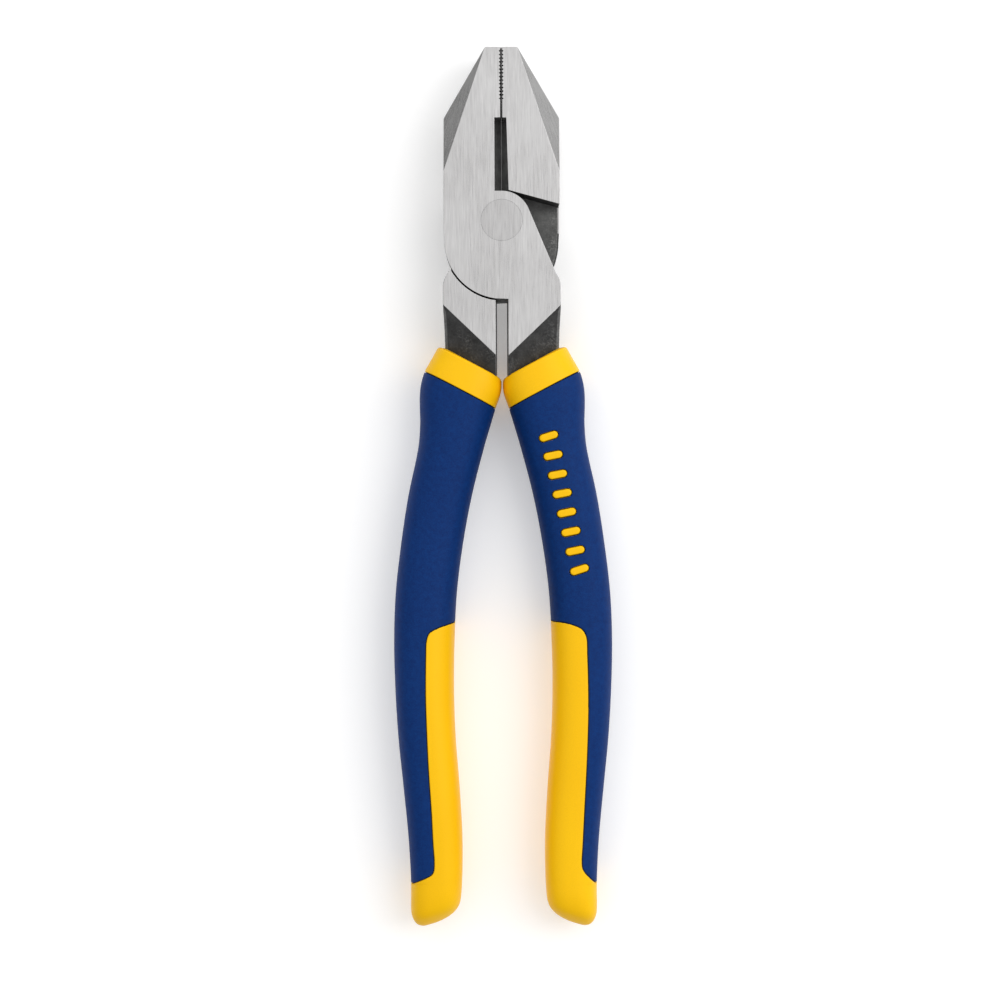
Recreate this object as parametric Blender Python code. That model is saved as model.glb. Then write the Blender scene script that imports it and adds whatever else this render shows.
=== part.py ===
"""Lineman pliers, 9-1/2 inch class: two identical forged levers crossed in a half lap,
one flush rivet, and a two-shot grip (hard core, soft overmould) on each handle.

Axes, in metres: +Z is the thickness, +Y runs along the tool to the nose, +X to the right
seen from the front. The origin lies on the pivot axis, in the rear face of the joint.
Blender objects are in metres; every dimension below is in millimetres.
"""

import math

import bmesh
import bpy
from mathutils import Matrix, Vector

MM = 0.001

# ---------------------------------------------------------------- driving dimensions
THICK = 15.9            # head thickness (5/8 in)
MID = THICK / 2         # plane of the half lap
HALF_WIDTH = 15.9       # half of the head's width (1-1/4 in)
NOSE_Y = 47.3           # nose above the pivot
NOSE_HALF = 4.45        # half width of the nose tip
SHOULDER_Y = 28.4       # where the nose taper starts
FACET_LOW_Y = 13.2      # lower corner of each ground facet
FACET_DROP = 4.9        # what the facet takes off the side land at the shoulder

JAW_GAP = 0.2           # half the closed gap between the jaws
TOOTH_PITCH, TOOTH_DEPTH, TEETH = 1.0, 0.35, 14
TEETH_TOP_Y = 46.7
CUTTER_TOP_Y, CUTTER_LOW_Y = 28.0, 8.05
CUTTER_HALF = 1.72      # half opening of the cutter notch at the faces
KNIFE_GAP = 0.15        # half the gap between the two knife edges
KNIFE_LAND = 2.8        # height of the bevel, from the mid plane

LAP_R = 8.0             # arc of the lap round the pivot
LAP_ANGLE = 22.8        # direction that the lap's straight edge faces
LAP_GAP = 0.2           # between the two lap faces
JAW_CLEAR = 8.36        # distance of the opposite jaw's underside from the pivot
JAW_SLOPE = 15.4        # slope of that underside
SHOULDER_R, SHOULDER_C = 16.1, (0.4, -5.5)   # lower arc of the lap
SHOULDER_GAP = 0.35
HORN_Y = -13.1          # tip of the shoulder's outer horn, where it meets the lap's edge

SHANK_HALF_SLOT = 1.67  # half the slot between the shanks
SLOT_TOP_Y = -21.6
SHANK_OUT = 16.1
SLOPE_A, SLOPE_B = (15.0, -24.2), (2.35, -36.3)   # where the ground flat ends
SLOPE_ANGLE = 17.0
SHANK_END_OUT_Y, SHANK_END_IN_Y = -37.2, -44.6

RIVET_R, RIVET_HEAD_R, RIVET_SINK = 4.8, 5.65, 1.4
RIVET_CLEAR = 0.15

SEAT = 0.3              # gap of each moulded layer to the one inside it
OVER_WALL = 2.3         # thickness of the soft overmould
GROOVE = 0.3            # seam groove between the two plastics
RING_POINTS = 20
ROUNDNESS = 2.6         # superellipse exponent of the grip's section

# Grip stations: (y, x) of the left handle's outer and inner edges, and half thickness.
OUTER_EDGE = ((-34.0, -17.7), (-37.2, -19.6), (-40.9, -21.8), (-43.9, -22.8), (-47.0, -23.3),
              (-50.5, -23.3), (-55.5, -23.1), (-62.1, -23.6), (-75.4, -26.3), (-88.7, -28.3),
              (-101.9, -29.6), (-115.2, -30.1), (-128.5, -29.8), (-141.8, -29.0), (-155.0, -27.7),
              (-168.3, -26.4), (-178.0, -25.8), (-184.0, -25.65), (-188.0, -25.7),
              (-190.3, -25.6), (-191.8, -25.2), (-192.9, -24.6), (-193.7, -23.7), (-194.0, -22.6))
INNER_EDGE = ((-42.0, -0.35), (-45.0, -0.55), (-51.1, -2.3), (-55.5, -3.5), (-62.1, -5.2),
              (-75.4, -8.5), (-88.7, -11.0), (-101.9, -12.7), (-115.2, -13.4), (-128.5, -13.6),
              (-141.8, -13.2), (-155.0, -12.2), (-168.3, -11.45), (-177.0, -11.4),
              (-183.0, -11.6), (-186.5, -11.9), (-188.3, -12.4), (-189.7, -13.3), (-190.9, -14.6),
              (-191.8, -16.0), (-192.5, -17.4))
HALF_DEPTH = ((-38.0, 9.4), (-46.0, 10.1), (-54.0, 10.0), (-75.0, 9.3), (-100.0, 9.1),
              (-130.0, 9.1), (-155.0, 8.7), (-178.0, 8.0), (-184.0, 7.7), (-186.7, 7.3),
              (-188.7, 6.7), (-190.1, 5.9), (-191.4, 4.7), (-192.5, 3.4), (-193.2, 2.2))
# Tang: (y, x of its middle, half width, half depth) of the right handle.
TANG = ((-30.0, 8.6, 5.8, 5.0), (-37.0, 8.7, 5.8, 5.0), (-42.0, 9.6, 5.8, 5.0), (-50.0, 12.0, 5.7, 5.0),
        (-60.0, 14.4, 5.5, 4.9), (-75.0, 17.4, 5.2, 4.8), (-90.0, 19.8, 4.9, 4.6),
        (-105.0, 21.3, 4.6, 4.4), (-120.0, 21.8, 4.4, 4.2), (-135.0, 21.5, 4.2, 3.9),
        (-150.0, 20.4, 3.9, 3.7), (-165.0, 19.1, 3.7, 3.5), (-175.0, 18.7, 3.5, 3.3))
# Lower edge of the collar, and the edge of the inner panel down to the end cap (left handle).
COLLAR_SEAM = ((-21.8, -40.9), (-2.2, -51.2))
PANEL_SEAM = ((-12.0, -109.7), (-15.9, -110.8), (-19.4, -112.3), (-20.7, -114.4), (-21.0, -122.0),
              (-21.2, -133.0), (-20.9, -143.0), (-20.4, -151.0), (-19.8, -161.0), (-19.3, -170.0),
              (-19.2, -177.4), (-19.9, -179.6), (-21.9, -181.1), (-25.5, -182.3))

# Raised bars of the hard core that show through the right overmould, on the front.
MARKS, MARK_LONG, MARK_WIDE, MARK_SLANT = 8, 5.2, 2.0, 24.0
MARK_LINE = ((-59.2, 12.6), (-68.0, 14.6), (-77.0, 16.75), (-86.0, 18.75), (-95.6, 20.9))


# ---------------------------------------------------------------- mesh helpers
def new_object(name, bm):
    bm.normal_update()
    bmesh.ops.recalc_face_normals(bm, faces=bm.faces)
    mesh = bpy.data.meshes.new(name)
    bm.to_mesh(mesh)
    bm.free()
    obj = bpy.data.objects.new(name, mesh)
    bpy.context.scene.collection.objects.link(obj)
    return obj


def prism(name, outline, low, high, axes="xyz"):
    """An outline of (u, v) points in mm, pushed from low to high along the third axis."""
    bm = bmesh.new()
    place = {"xyz": lambda u, v, w: (u, v, w), "xzy": lambda u, v, w: (u, w, v)}[axes]
    ends = [[bm.verts.new(Vector(place(u, v, w)) * MM) for u, v in outline] for w in (low, high)]
    bm.faces.new(ends[0])
    bm.faces.new(ends[1])
    for i in range(len(outline)):
        j = (i + 1) % len(outline)
        bm.faces.new((ends[0][i], ends[0][j], ends[1][j], ends[1][i]))
    return new_object(name, bm)


def half_space(name, point, normal, reach=90.0, height=30.0):
    """A slab that fills the side of a plane that its normal points to."""
    turn = Vector(normal).to_track_quat("Z", "Y").to_matrix().to_4x4()
    move = Matrix.Translation(Vector(point) * MM)
    bm = bmesh.new()
    bmesh.ops.create_cube(bm, size=1.0)
    for vert in bm.verts:
        flat = Vector((vert.co.x * 2 * reach, vert.co.y * 2 * reach, (vert.co.z + 0.5) * height))
        vert.co = (move @ turn @ (flat * MM).to_4d()).to_3d()
    return new_object(name, bm)


def turned(name, profile, sides):
    """A closed solid of revolution about Z from (radius, z) points, bottom to top."""
    bm = bmesh.new()
    rings = []
    for radius, z in profile:
        rings.append([bm.verts.new(Vector((radius * math.cos(2 * math.pi * i / sides),
                                           radius * math.sin(2 * math.pi * i / sides), z)) * MM)
                      for i in range(sides)])
    skin(bm, rings)
    return new_object(name, bm)


def skin(bm, rings):
    for low, high in zip(rings, rings[1:]):
        for i in range(len(low)):
            j = (i + 1) % len(low)
            bm.faces.new((low[i], low[j], high[j], high[i]))
    bm.faces.new(rings[0])
    bm.faces.new(rings[-1])


def cut(obj, other, operation="DIFFERENCE"):
    modifier = obj.modifiers.new(operation.lower(), "BOOLEAN")
    modifier.operation = operation
    modifier.solver = "EXACT"
    modifier.object = other
    return other


def finished(name, obj, helpers, sharp=30.0):
    """The mesh of obj with its Booleans worked in, and the helpers removed."""
    bpy.context.view_layer.update()
    graph = bpy.context.evaluated_depsgraph_get()
    mesh = bpy.data.meshes.new_from_object(obj.evaluated_get(graph))
    mesh.name = name
    for spent in [obj, *helpers]:
        bpy.data.objects.remove(spent, do_unlink=True)
    bm = bmesh.new()
    bm.from_mesh(mesh)
    bmesh.ops.remove_doubles(bm, verts=bm.verts, dist=2e-6)
    bmesh.ops.dissolve_degenerate(bm, dist=2e-6, edges=bm.edges)
    bmesh.ops.triangulate(bm, faces=bm.faces)
    bm.to_mesh(mesh)
    bm.free()
    mesh.shade_smooth()
    mesh.set_sharp_from_angle(angle=math.radians(sharp))
    return mesh


# ---------------------------------------------------------------- curves
def smooth(table, y, column=1):
    """Cubic Hermite through a table whose first column falls."""
    rows = [(row[0], row[column]) for row in table]
    if y >= rows[0][0]:
        return rows[0][1]
    if y <= rows[-1][0]:
        return rows[-1][1]

    def slope(k):
        a, b = rows[max(k - 1, 0)], rows[min(k + 1, len(rows) - 1)]
        return (b[1] - a[1]) / (b[0] - a[0])

    for k in range(len(rows) - 1):
        (y0, v0), (y1, v1) = rows[k], rows[k + 1]
        if y1 <= y <= y0:
            span = y1 - y0
            s = (y - y0) / span
            m0, m1 = slope(k) * span, slope(k + 1) * span
            return ((2 * s**3 - 3 * s**2 + 1) * v0 + (s**3 - 2 * s**2 + s) * m0
                    + (3 * s**2 - 2 * s**3) * v1 + (s**3 - s**2) * m1)
    return rows[-1][1]


def arc(centre, radius, start, stop, steps):
    return [(centre[0] + radius * math.cos(math.radians(start + (stop - start) * i / steps)),
             centre[1] + radius * math.sin(math.radians(start + (stop - start) * i / steps)))
            for i in range(steps + 1)]


def shifted(line, by):
    """An open line of points moved sideways, to the right of its direction for by > 0."""
    moved = []
    for i, (x, y) in enumerate(line):
        a, b = line[max(i - 1, 0)], line[min(i + 1, len(line) - 1)]
        run = Vector((b[0] - a[0], b[1] - a[1])).normalized()
        moved.append((x + run.y * by, y - run.x * by))
    return moved


# ---------------------------------------------------------------- levers
def lever_outline():
    """One lever seen from the front: jaw on the left, handle on the right."""
    line = [(-JAW_GAP, NOSE_Y), (-JAW_GAP, TEETH_TOP_Y + 0.1)]
    for i in range(TEETH):
        top = TEETH_TOP_Y - i * TOOTH_PITCH
        line.append((-JAW_GAP + 0.05, top - 0.1))
        line.append((-JAW_GAP + 0.05 - TOOTH_DEPTH, top - TOOTH_PITCH / 2))
    line.append((-JAW_GAP, TEETH_TOP_Y - TEETH * TOOTH_PITCH))
    line.append((-JAW_GAP, CUTTER_TOP_Y))
    line.append((-KNIFE_GAP, CUTTER_TOP_Y - 0.05))
    line.append((-KNIFE_GAP, 8.5))
    # The area right of the lap is cut away again by the two cutters below.
    line += [(17.0, 8.5), (17.0, -10.0), (SHANK_OUT, -10.6), (SHANK_OUT, -23.0)]
    line += [(15.75, -30.0), (15.55, SHANK_END_OUT_Y), (1.9, SHANK_END_IN_Y)]
    line += [(SHANK_HALF_SLOT, -40.0), (SHANK_HALF_SLOT, SLOT_TOP_Y)]
    low = math.degrees(math.asin((-1.6 - SHOULDER_C[0]) / SHOULDER_R))
    line += arc(SHOULDER_C, SHOULDER_R, -90 + low, -180, 14)
    line += [(-HALF_WIDTH, -2.0), (-HALF_WIDTH, SHOULDER_Y), (-NOSE_HALF, NOSE_Y)]
    return line


def front_cutter_outline():
    """What the front half of the thickness lacks: all beyond the lap's arc and straight edge."""
    start = math.degrees(math.acos(-CUTTER_HALF / LAP_R))
    line = arc((0, 0), LAP_R, start, LAP_ANGLE, 12)
    line += [*lap_corner(), (26.0, 9.4)]
    line.append((line[0][0], 9.4))
    return line


def lap_corner():
    """Where the lap's straight edge turns into the side of the shank, and out to the right."""
    x = SHANK_OUT - 0.6
    y = lap_edge(x)
    return [(x, y), (SHANK_OUT - 0.2, y - 1.2), (SHANK_OUT + 0.05, y - 3.0), (26.0, y - 3.2)]


def lap_edge(x):
    """The y of the lap's straight edge at x."""
    facing = math.radians(LAP_ANGLE)
    return (LAP_R - x * math.cos(facing)) / math.sin(facing)


def rear_cutter_outline():
    """What the rear half lacks: the room of the other lever's lap."""
    slope = math.radians(JAW_SLOPE)
    foot = (-JAW_CLEAR * math.sin(slope), JAW_CLEAR * math.cos(slope))
    along = lambda x: foot[1] + (x - foot[0]) * math.tan(slope)
    centre, radius = (-SHOULDER_C[0], SHOULDER_C[1]), SHOULDER_R + SHOULDER_GAP
    start = math.degrees(math.asin((HORN_Y - centre[1]) / radius))
    low = math.degrees(math.asin((SHANK_HALF_SLOT - 0.1 - centre[0]) / radius))
    line = [(-26.0, along(-26.0)), (1.2, along(1.2)), (26.0, along(26.0)), *reversed(lap_corner())]
    line += arc(centre, radius, start, -90 + low, 14)
    line += [(SHANK_HALF_SLOT - 0.1, -27.0), (-26.0, -27.0)]
    return line


def knife_cutter_outline(side):
    """The cutter notch in section, (x, z), for the front (side = 1) or the rear (-1)."""
    z = lambda up: MID + side * up
    return [(-KNIFE_GAP, z(0.05)), (-CUTTER_HALF, z(KNIFE_LAND)), (-CUTTER_HALF, z(MID + 1.0)),
            (2.5, z(MID + 1.0)), (2.5, z(0.05))]


def tang_ring(y, half_width, half_depth, points=16, roundness=3.2):
    """A section of the handle's tang, or of the room round it, right handle."""
    x = smooth(TANG, y, 1)
    tilt = math.tan(math.radians(27)) * max(0.0, min(1.0, (y + 70.0) / 28.0))
    ring = []
    for i in range(points):
        c, s = math.cos(2 * math.pi * i / points), math.sin(2 * math.pi * i / points)
        u = math.copysign(abs(c) ** (2 / roundness), c) * half_width
        v = math.copysign(abs(s) ** (2 / roundness), s) * half_depth
        ring.append((x + u, y + u * tilt, MID + v))
    return ring


def tang(name, grow=0.0):
    """The tang from inside the shank to its end or, with grow, the room that it needs."""
    stations = [-37.0 - 5.0 * k for k in range(5)] + [-67.0 - 12.0 * k for k in range(10)]
    if grow:
        stations = [-30.0, *stations[:-1], stations[-1] - grow]
    bm = bmesh.new()
    rings = []
    for y in stations:
        ring = tang_ring(y, smooth(TANG, y, 2) + grow, smooth(TANG, y, 3) + grow)
        rings.append([bm.verts.new(Vector(p) * MM) for p in ring])
    skin(bm, rings)
    return new_object(name, bm)


def lever_mesh():
    body = prism("lever_body", lever_outline(), 0.0, THICK)
    tools = [cut(body, prism("cut_front", front_cutter_outline(), MID, THICK + 4)),
             cut(body, prism("cut_rear", rear_cutter_outline(), -4, MID + LAP_GAP / 2))]
    for side in (1, -1):
        face = MID + side * MID
        run = Vector((HALF_WIDTH - NOSE_HALF, NOSE_Y - FACET_LOW_Y)).normalized()
        tip = math.atan2(FACET_DROP, 4.86)
        out = (-run.y * math.sin(tip), run.x * math.sin(tip), side * math.cos(tip))
        tools.append(cut(body, half_space("cut_facet", (-NOSE_HALF, NOSE_Y, face), out)))
        fall = math.radians(SLOPE_ANGLE)
        edge = Vector((SLOPE_A[0] - SLOPE_B[0], SLOPE_A[1] - SLOPE_B[1])).normalized()
        down = (edge.y * math.sin(fall), -edge.x * math.sin(fall), side * math.cos(fall))
        tools.append(cut(body, half_space("cut_slope", (*SLOPE_A, face), down)))
        tools.append(cut(body, prism("cut_knife", knife_cutter_outline(side),
                                     CUTTER_LOW_Y if side > 0 else 7.0, CUTTER_TOP_Y, "xzy")))
    hole, sink = RIVET_R + RIVET_CLEAR, RIVET_HEAD_R + RIVET_CLEAR
    tools.append(cut(body, turned("cut_hole", [(sink + 0.6, -1.0), (sink, 0.0), (hole, RIVET_SINK),
                                               (hole, THICK - RIVET_SINK), (sink, THICK),
                                               (sink + 0.6, THICK + 1.0)], 48)))
    tools.append(cut(body, tang("add_tang"), "UNION"))
    return finished("pliers_lever", body, tools)


def rivet_mesh():
    body = turned("rivet_body", [(RIVET_HEAD_R, 0.0), (RIVET_R, RIVET_SINK - 0.1),
                                 (RIVET_R, THICK - RIVET_SINK + 0.1), (RIVET_HEAD_R, THICK)], 48)
    return finished("pliers_rivet", body, [])


# ---------------------------------------------------------------- grips (left handle)
def grip_stations():
    """(outer y, inner y, inset) of each section: slanted like the collar, then square."""
    rows = [(-34.3, -43.2, 0.9), (-34.8, -43.8, 0.25), (-36.0, -45.1, 0.0), (-38.6, -48.2, 0.0),
            (-41.2, -51.4, 0.0), (-46.0, -54.6, 0.0), (-52.0, -58.6, 0.0), (-59.0, -63.2, 0.0),
            (-67.0, -69.0, 0.0)]
    rows += [(-75.5 - 9.6 * k, -75.5 - 9.6 * k, 0.0) for k in range(11)]
    rows += [(-180.0, -179.4, 0.0), (-184.5, -182.8, 0.0), (-188.0, -185.4, 0.0),
             (-190.3, -187.0, 0.0), (-191.8, -188.4, 0.0), (-192.9, -189.9, 0.0),
             (-193.7, -191.3, 0.0), (-194.0, -192.4, 0.0)]
    return rows


def grip_ring(outer_y, inner_y, inset):
    a = Vector((smooth(OUTER_EDGE, outer_y), outer_y))
    b = Vector((smooth(INNER_EDGE, inner_y), inner_y))
    centre, half = (a + b) / 2, (b - a) / 2
    half = half.normalized() * max(half.length - inset, 0.6)
    depth = max(smooth(HALF_DEPTH, centre.y) - inset, 0.6)
    ring = []
    for i in range(RING_POINTS):
        c, s = math.cos(2 * math.pi * i / RING_POINTS), math.sin(2 * math.pi * i / RING_POINTS)
        u = math.copysign(abs(c) ** (2 / ROUNDNESS), c)
        v = math.copysign(abs(s) ** (2 / ROUNDNESS), s)
        ring.append((centre.x + half.x * u, centre.y + half.y * u, MID + depth * v))
    return ring


def grip_body(name, inset=0.0, first=0, last=None):
    bm = bmesh.new()
    rings = []
    for outer_y, inner_y, own in grip_stations()[first:last]:
        ring = grip_ring(outer_y, inner_y, own + inset)
        rings.append([bm.verts.new(Vector(p) * MM) for p in ring])
    skin(bm, rings)
    return new_object(name, bm)


def overmould_outline(grow=0.0):
    """The area, seen from the front, that the soft overmould takes."""
    (x0, y0), (x1, y1) = COLLAR_SEAM
    slope = (y1 - y0) / (x1 - x0)
    at = lambda x: y0 + slope * (x - x0) + grow
    panel = shifted([(6.0, -108.6), *PANEL_SEAM, (-40.0, -184.0)], -grow)
    return [(-40.0, at(-40.0)), (6.0, at(6.0)), *panel]


def mark_prisms(name, grow, low, high):
    """The slanted bars, mirrored to the left handle, from low to high."""
    bm = bmesh.new()
    for k in range(MARKS):
        y = MARK_LINE[0][0] + (MARK_LINE[-1][0] - MARK_LINE[0][0]) * k / (MARKS - 1)
        lean = (smooth(MARK_LINE, y + 1) - smooth(MARK_LINE, y - 1)) / 2
        turn = math.atan(lean) + math.radians(MARK_SLANT)
        u = Vector((math.cos(turn), math.sin(turn)))
        v = Vector((-u.y, u.x))
        r = MARK_WIDE / 2 + grow
        half = MARK_LONG / 2 - MARK_WIDE / 2
        outline = []
        for end, first in ((1, -90), (-1, 90)):
            for i in range(5):
                a = math.radians(first + 45 * i)
                at = u * (half * end + r * math.cos(a)) + v * (r * math.sin(a))
                outline.append((-(smooth(MARK_LINE, y) + at.x), y + at.y))
        ends = [[bm.verts.new(Vector((px, py, z)) * MM) for px, py in outline] for z in (low, high)]
        skin(bm, ends)
    return new_object(name, bm)


def core_mesh(marked):
    """Hard first shot: collar, sleeve over the tang, inner panel and end cap."""
    body = grip_body("core_body")
    tools = [cut(body, prism("cut_over", overmould_outline(GROOVE), -6, THICK + 6)),
             cut(body, grip_body("add_sleeve", OVER_WALL + SEAT, 3, 24), "UNION")]
    if marked:
        bars = mark_prisms("add_bars", 0.0, -6, 2.9)
        tools += [cut(bars, grip_body("keep_bars"), "INTERSECT"), cut(body, bars, "UNION")]
    room = tang("cut_tang", SEAT)
    room.matrix_world = Matrix.Rotation(math.pi, 4, "Y")
    room.location.z = THICK * MM
    tools.append(cut(body, room))
    g = 0.35
    pocket = [(-16.1, -30.0), (-15.55 - g, SHANK_END_OUT_Y - g), (-1.9 + g, SHANK_END_IN_Y - g),
              (-SHANK_HALF_SLOT + g, -40.0), (-SHANK_HALF_SLOT + g, -36.0)]
    tools.append(cut(body, prism("cut_pocket", pocket, MID - 7.35, MID + 7.35)))
    return finished("pliers_grip_core", body, tools)


def overmould_mesh(marked):
    """Soft second shot over the sleeve, leaving the inner panel and the end cap bare."""
    body = grip_body("over_body")
    tools = [cut(body, prism("keep_over", overmould_outline(), -6, THICK + 6), "INTERSECT"),
             cut(body, grip_body("cut_sleeve", OVER_WALL, 2, 25))]
    if marked:
        tools.append(cut(body, mark_prisms("cut_windows", 0.3, -6, MID)))
    return finished("pliers_grip_overmould", body, tools)


# ---------------------------------------------------------------- assembly
def material(name, colour, roughness, metallic):
    made = bpy.data.materials.new(name)
    made.use_nodes = True
    shader = made.node_tree.nodes["Principled BSDF"]
    shader.inputs["Base Color"].default_value = (*colour, 1.0)
    shader.inputs["Roughness"].default_value = roughness
    shader.inputs["Metallic"].default_value = metallic
    made.diffuse_color = (*colour, 1.0)
    return made


def place(name, mesh, look, parent, turned_over):
    """turned_over puts a piece on the other side: half a turn about the tool's long axis."""
    obj = bpy.data.objects.new(name, mesh)
    bpy.context.scene.collection.objects.link(obj)
    obj.parent = parent
    if turned_over:
        obj.rotation_euler = (0.0, math.pi, 0.0)
        obj.location = (0.0, 0.0, THICK * MM)
    if not mesh.materials:
        mesh.materials.append(look)
    obj.material_slots[0].link = "OBJECT"
    obj.material_slots[0].material = look
    return obj


def main():
    for obj in list(bpy.data.objects):
        bpy.data.objects.remove(obj, do_unlink=True)

    steel_front = material("front_lever_steel", (0.50, 0.49, 0.485), 0.34, 1.0)
    steel_rear = material("rear_lever_steel", (0.48, 0.475, 0.47), 0.36, 1.0)
    steel_rivet = material("rivet_steel", (0.47, 0.46, 0.455), 0.32, 1.0)
    hard = {side: material(f"{side}_core_plastic", (0.93, 0.56, 0.02), 0.38, 0.0)
            for side in ("left", "right")}
    soft = {side: material(f"{side}_overmould_rubber", (0.012, 0.044, 0.17), 0.62, 0.0)
            for side in ("left", "right")}

    halves = {}
    for name in ("rear_half", "front_half"):
        halves[name] = bpy.data.objects.new(name, None)   # both stand on the pivot axis
        halves[name].empty_display_size = 0.02
        bpy.context.scene.collection.objects.link(halves[name])

    lever = lever_mesh()
    place("lever_front", lever, steel_front, halves["front_half"], False)
    place("lever_rear", lever, steel_rear, halves["rear_half"], True)
    place("pivot_rivet", rivet_mesh(), steel_rivet, halves["rear_half"], False)
    for side, half in (("left", halves["rear_half"]), ("right", halves["front_half"])):
        over = side == "right"      # the right grip is the left one turned over, with the bars
        place(f"grip_core_{side}", core_mesh(over), hard[side], half, over)
        place(f"grip_overmould_{side}", overmould_mesh(over), soft[side], half, over)
    bpy.context.view_layer.update()


main()
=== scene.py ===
"""Lineman pliers: the fine surface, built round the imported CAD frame."""

import math

import bmesh
import bpy
import numpy as np
from mathutils import Matrix, Vector


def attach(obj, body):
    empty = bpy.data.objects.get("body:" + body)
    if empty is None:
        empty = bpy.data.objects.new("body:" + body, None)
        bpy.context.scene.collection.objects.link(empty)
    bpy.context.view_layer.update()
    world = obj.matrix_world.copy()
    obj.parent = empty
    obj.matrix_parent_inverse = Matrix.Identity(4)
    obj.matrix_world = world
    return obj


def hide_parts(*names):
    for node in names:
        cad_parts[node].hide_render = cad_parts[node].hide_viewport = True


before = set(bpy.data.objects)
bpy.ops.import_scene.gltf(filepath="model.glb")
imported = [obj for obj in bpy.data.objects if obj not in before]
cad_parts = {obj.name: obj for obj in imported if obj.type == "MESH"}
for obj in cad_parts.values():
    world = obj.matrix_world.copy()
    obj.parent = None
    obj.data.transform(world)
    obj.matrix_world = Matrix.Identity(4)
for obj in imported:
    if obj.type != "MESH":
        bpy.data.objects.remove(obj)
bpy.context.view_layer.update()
scene = bpy.context.scene
MM = 0.001

# ------------------------------------------------------------------ dimensions (mm), as in the CAD
THICK = 15.9
MID = THICK / 2
HALF_WIDTH, NOSE_Y, NOSE_HALF = 15.9, 47.3, 4.45
SHOULDER_Y, FACET_LOW_Y, FACET_DROP = 28.4, 13.2, 4.0
JAW_GAP = 0.02
TOOTH_PITCH, TOOTH_DEPTH, TEETH, TEETH_TOP_Y = 1.0, 0.62, 14, 46.7
CUTTER_TOP_Y, CUTTER_LOW_Y, CUTTER_HALF = 28.0, 7.99, 1.9
CUTTER_REAR = (1.88, 1.36)   # the rear notch's half width at its bottom and its top
KNIFE_GAP, KNIFE_LAND = 0.02, 2.8
LAP_R, LAP_ANGLE, LAP_GAP = 8.0, 22.8, 0.12
JAW_CLEAR, JAW_SLOPE = 8.36, 15.4
SHOULDER_R, SHOULDER_C, SHOULDER_GAP, HORN_Y = 16.1, (0.4, -5.5), 0.4, -13.1
SHANK_HALF_SLOT, SLOT_TOP_Y, SHANK_OUT = 1.72, -21.6, 16.1
SLOPE_A, SLOPE_B, SLOPE_ANGLE = (15.0, -24.2), (2.35, -36.3), 17.0
SHANK_END_OUT_Y, SHANK_END_IN_Y = -37.2, -43.5
RIVET_R, RIVET_HEAD_R, RIVET_SINK = 4.8, 5.65, 1.4
RIVET_CLEAR = 0.03
OVER_WALL = 2.3
ROUNDNESS = 2.6

OUTER_EDGE = ((-34.0, -17.5), (-37.2, -19.3), (-40.9, -21.35), (-43.9, -22.3), (-47.0, -22.75),
              (-50.5, -22.8), (-55.5, -22.7), (-62.1, -23.25), (-75.4, -26.05), (-88.7, -28.1),
              (-101.9, -29.6), (-115.2, -30.1), (-128.5, -29.8), (-141.8, -29.0), (-155.0, -27.7),
              (-168.3, -26.4), (-178.0, -25.8), (-184.0, -25.65), (-188.0, -25.7),
              (-190.3, -25.6), (-191.8, -25.2), (-192.9, -24.6), (-193.7, -23.7), (-194.0, -22.6))
INNER_EDGE = ((-42.0, -0.3), (-45.0, -0.17), (-47.2, -0.45), (-51.1, -1.8), (-55.5, -3.15), (-62.1, -5.1),
              (-75.4, -8.5), (-88.7, -11.0), (-101.9, -12.7), (-115.2, -13.4), (-128.5, -13.6),
              (-141.8, -13.2), (-155.0, -12.2), (-168.3, -11.45), (-177.0, -11.4),
              (-183.0, -11.6), (-186.5, -11.9), (-188.3, -12.4), (-189.7, -13.3), (-190.9, -14.6),
              (-191.8, -16.0), (-192.5, -17.4))
HALF_DEPTH = ((-38.0, 9.4), (-46.0, 10.1), (-54.0, 10.0), (-75.0, 9.3), (-100.0, 9.1),
              (-130.0, 9.1), (-155.0, 8.7), (-178.0, 8.0), (-184.0, 7.7), (-186.7, 7.3),
              (-188.7, 6.7), (-190.1, 5.9), (-191.4, 4.7), (-192.5, 3.4), (-193.2, 2.2))
# Inner end of a section's y minus its outer end's, by the outer end's y.
SECTION_LEAN = ((-34.2, -9.0), (-36.0, -9.2), (-38.6, -9.7), (-40.9, -10.3), (-46.0, -8.7),
                (-52.0, -6.6), (-59.0, -4.2), (-67.0, -2.0), (-75.5, -0.5), (-84.0, 0.0),
                (-170.0, 0.0), (-176.0, 0.2), (-180.0, 0.7), (-184.5, 1.7), (-188.0, 2.6),
                (-190.3, 3.3), (-191.8, 3.4), (-192.9, 3.0), (-193.7, 2.4), (-194.0, 1.6))
TANG = ((-30.0, 8.6, 5.8, 5.0), (-37.0, 8.7, 5.8, 5.0), (-42.0, 9.6, 5.8, 5.0), (-50.0, 12.0, 5.7, 5.0),
        (-60.0, 14.4, 5.5, 4.9), (-75.0, 17.4, 5.2, 4.8), (-90.0, 19.8, 4.9, 4.6),
        (-105.0, 21.3, 4.6, 4.4), (-120.0, 21.8, 4.4, 4.2), (-135.0, 21.5, 4.2, 3.9),
        (-150.0, 20.4, 3.9, 3.7), (-165.0, 19.1, 3.7, 3.5), (-175.0, 18.7, 3.5, 3.3))
COLLAR_SEAM = ((-21.8, -40.9), (-2.2, -51.2))
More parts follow.
